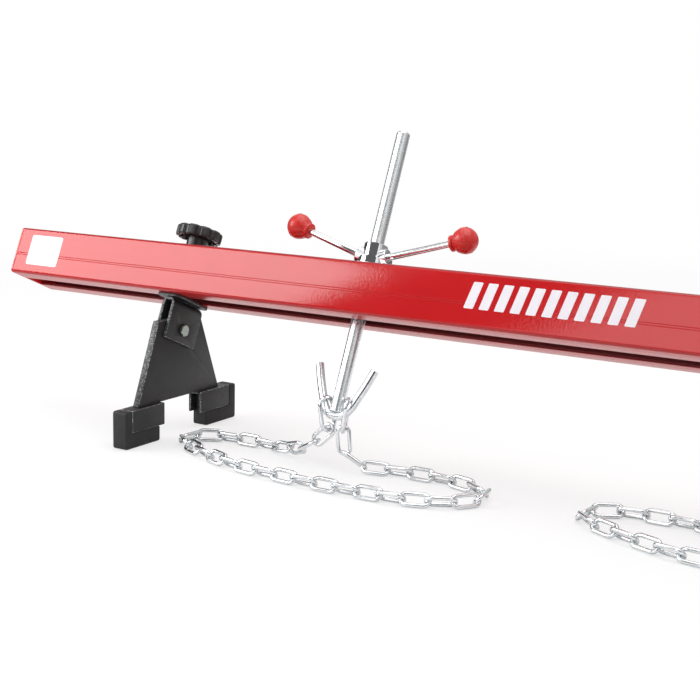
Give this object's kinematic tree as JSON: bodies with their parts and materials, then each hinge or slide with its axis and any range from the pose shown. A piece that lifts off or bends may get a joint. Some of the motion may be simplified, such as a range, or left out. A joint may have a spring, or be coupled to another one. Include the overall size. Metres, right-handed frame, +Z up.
{
  "type": "engine support bar",
  "caption": "Red slotted engine support bar on adjustable rubber-padded feet, with screw hooks turned by ball-ended arms and short chains on the floor.",
  "frame": {"origin": "on the floor, under the middle of the whole bar", "axes": "+X along the beam to the right, +Y away from the viewer, the way the beam leans back, +Z up"},
  "size_m": [1.5, 0.2222, 0.3704],
  "materials": {
    "red_paint": "gloss",
    "black_paint": "satin",
    "black_rubber": "matte",
    "black_plastic": "satin",
    "red_plastic": "gloss",
    "zinc_plated_steel": "satin",
    "chromed_steel": "polished"
  },
  "bodies": {
    "beam": {"front_channel": "red_paint", "rear_channel": "red_paint", "left_end_plate": "red_paint", "right_end_plate": "red_paint"},
    "left_clamp": {"left_clamp_washer": "zinc_plated_steel"},
    "left_clevis": {"left_clevis_base": "black_paint", "left_clevis_bracket": "black_paint", "left_clamp_stud": "zinc_plated_steel", "left_pivot_bolt": "zinc_plated_steel", "left_pivot_nut": "zinc_plated_steel"},
    "left_knob": {"left_clamp_knob": "black_plastic"},
    "left_foot": {"left_foot_plate": "black_paint", "left_front_shoe": "black_paint", "left_rear_shoe": "black_paint", "left_front_rubber_pad": "black_rubber", "left_rear_rubber_pad": "black_rubber"},
    "left_hook_slider": {"left_thrust_washer": "zinc_plated_steel"},
    "left_turning_nut": {"left_spindle_nut": "chromed_steel", "left_outer_arm": "chromed_steel", "left_inner_arm": "chromed_steel", "left_outer_ball": "red_plastic", "left_inner_ball": "red_plastic"},
    "left_screw": {"left_spindle": "zinc_plated_steel", "left_double_hook": "zinc_plated_steel"},
    "left_chain": {"left_outer_end_ring": "zinc_plated_steel", "left_inner_end_ring": "zinc_plated_steel", "left_chain_run_1": "zinc_plated_steel", "left_chain_run_2": "zinc_plated_steel", "left_chain_run_3": "zinc_plated_steel", "left_chain_run_4": "zinc_plated_steel", "left_chain_run_5": "zinc_plated_steel"},
    "right_clamp": {"right_clamp_washer": "zinc_plated_steel"},
    "right_clevis": {"right_clevis_base": "black_paint", "right_clevis_bracket": "black_paint", "right_clamp_stud": "zinc_plated_steel", "right_pivot_bolt": "zinc_plated_steel", "right_pivot_nut": "zinc_plated_steel"},
    "right_knob": {"right_clamp_knob": "black_plastic"},
    "right_foot": {"right_foot_plate": "black_paint", "right_front_shoe": "black_paint", "right_rear_shoe": "black_paint", "right_front_rubber_pad": "black_rubber", "right_rear_rubber_pad": "black_rubber"},
    "right_hook_slider": {"right_thrust_washer": "zinc_plated_steel"},
    "right_turning_nut": {"right_spindle_nut": "chromed_steel", "right_outer_arm": "chromed_steel", "right_inner_arm": "chromed_steel", "right_outer_ball": "red_plastic", "right_inner_ball": "red_plastic"},
    "right_screw": {"right_spindle": "zinc_plated_steel", "right_double_hook": "zinc_plated_steel"},
    "right_chain": {"right_outer_end_ring": "zinc_plated_steel", "right_inner_end_ring": "zinc_plated_steel", "right_chain_run_1": "zinc_plated_steel", "right_chain_run_2": "zinc_plated_steel", "right_chain_run_3": "zinc_plated_steel", "right_chain_run_4": "zinc_plated_steel", "right_chain_run_5": "zinc_plated_steel"}
  },
  "joints": [
    {"name": "left_foot_slide", "type": "slide", "parent": "beam", "child": "left_clamp", "axis": [-1, 0, 0], "range_m": [0, 0.24]},
    {"name": "left_foot_swivel", "type": "hinge", "parent": "left_clamp", "child": "left_clevis", "pos_m": [-0.5, 0.0141, 0.1606], "axis": [0, 0.3994, 0.9168], "range_deg": [-15, 15]},
    {"name": "left_clamp_knob_turn", "type": "hinge", "parent": "left_clevis", "child": "left_knob", "pos_m": [-0.5, 0.0141, 0.1606], "axis": [0, 0.3994, 0.9168], "continuous": true},
    {"name": "left_foot_tilt", "type": "hinge", "parent": "left_clevis", "child": "left_foot", "pos_m": [-0.496, -0.00076, 0.1265], "axis": [-1, 0, 0], "range_deg": [0, 47.08]},
    {"name": "left_hook_slide", "type": "slide", "parent": "beam", "child": "left_hook_slider", "axis": [1, 0, 0], "range_m": [0, 0.04]},
    {"name": "left_nut_turn", "type": "hinge", "parent": "left_hook_slider", "child": "left_turning_nut", "pos_m": [-0.25, 0.0141, 0.1606], "axis": [0, -0.3994, -0.9168], "range_deg": [-23940, 7920]},
    {"name": "left_screw_travel", "type": "slide", "parent": "left_hook_slider", "child": "left_screw", "axis": [0, 0.3994, 0.9168], "range_m": [-0.1331, 0.0441]},
    {"name": "left_chain_swing", "type": "hinge", "parent": "left_screw", "child": "left_chain", "pos_m": [-0.25, -0.02504, 0.07076], "axis": [1, 0, 0], "range_deg": [-15, 15]},
    {"name": "right_foot_slide", "type": "slide", "parent": "beam", "child": "right_clamp", "axis": [1, 0, 0], "range_m": [0, 0.24]},
    {"name": "right_foot_swivel", "type": "hinge", "parent": "right_clamp", "child": "right_clevis", "pos_m": [0.492, 0.0141, 0.1606], "axis": [0, 0.3994, 0.9168], "range_deg": [-15, 15]},
    {"name": "right_clamp_knob_turn", "type": "hinge", "parent": "right_clevis", "child": "right_knob", "pos_m": [0.492, 0.0141, 0.1606], "axis": [0, 0.3994, 0.9168], "continuous": true},
    {"name": "right_foot_tilt", "type": "hinge", "parent": "right_clevis", "child": "right_foot", "pos_m": [0.496, -0.00076, 0.1265], "axis": [-1, 0, 0], "range_deg": [0, 47.08]},
    {"name": "right_hook_slide", "type": "slide", "parent": "beam", "child": "right_hook_slider", "axis": [-1, 0, 0], "range_m": [0, 0.04]},
    {"name": "right_nut_turn", "type": "hinge", "parent": "right_hook_slider", "child": "right_turning_nut", "pos_m": [0.25, 0.0141, 0.1606], "axis": [0, -0.3994, -0.9168], "range_deg": [-23940, 7920]},
    {"name": "right_screw_travel", "type": "slide", "parent": "right_hook_slider", "child": "right_screw", "axis": [0, 0.3994, 0.9168], "range_m": [-0.1331, 0.0441]},
    {"name": "right_chain_swing", "type": "hinge", "parent": "right_screw", "child": "right_chain", "pos_m": [0.25, -0.02504, 0.07076], "axis": [1, 0, 0], "range_deg": [-15, 15]}
  ],
  "couplings": [
    {"joint": "left_screw_travel", "follows": "left_nut_turn", "m_per_rad": 0.00031831},
    {"joint": "right_screw_travel", "follows": "right_nut_turn", "m_per_rad": 0.00031831}
  ]
}
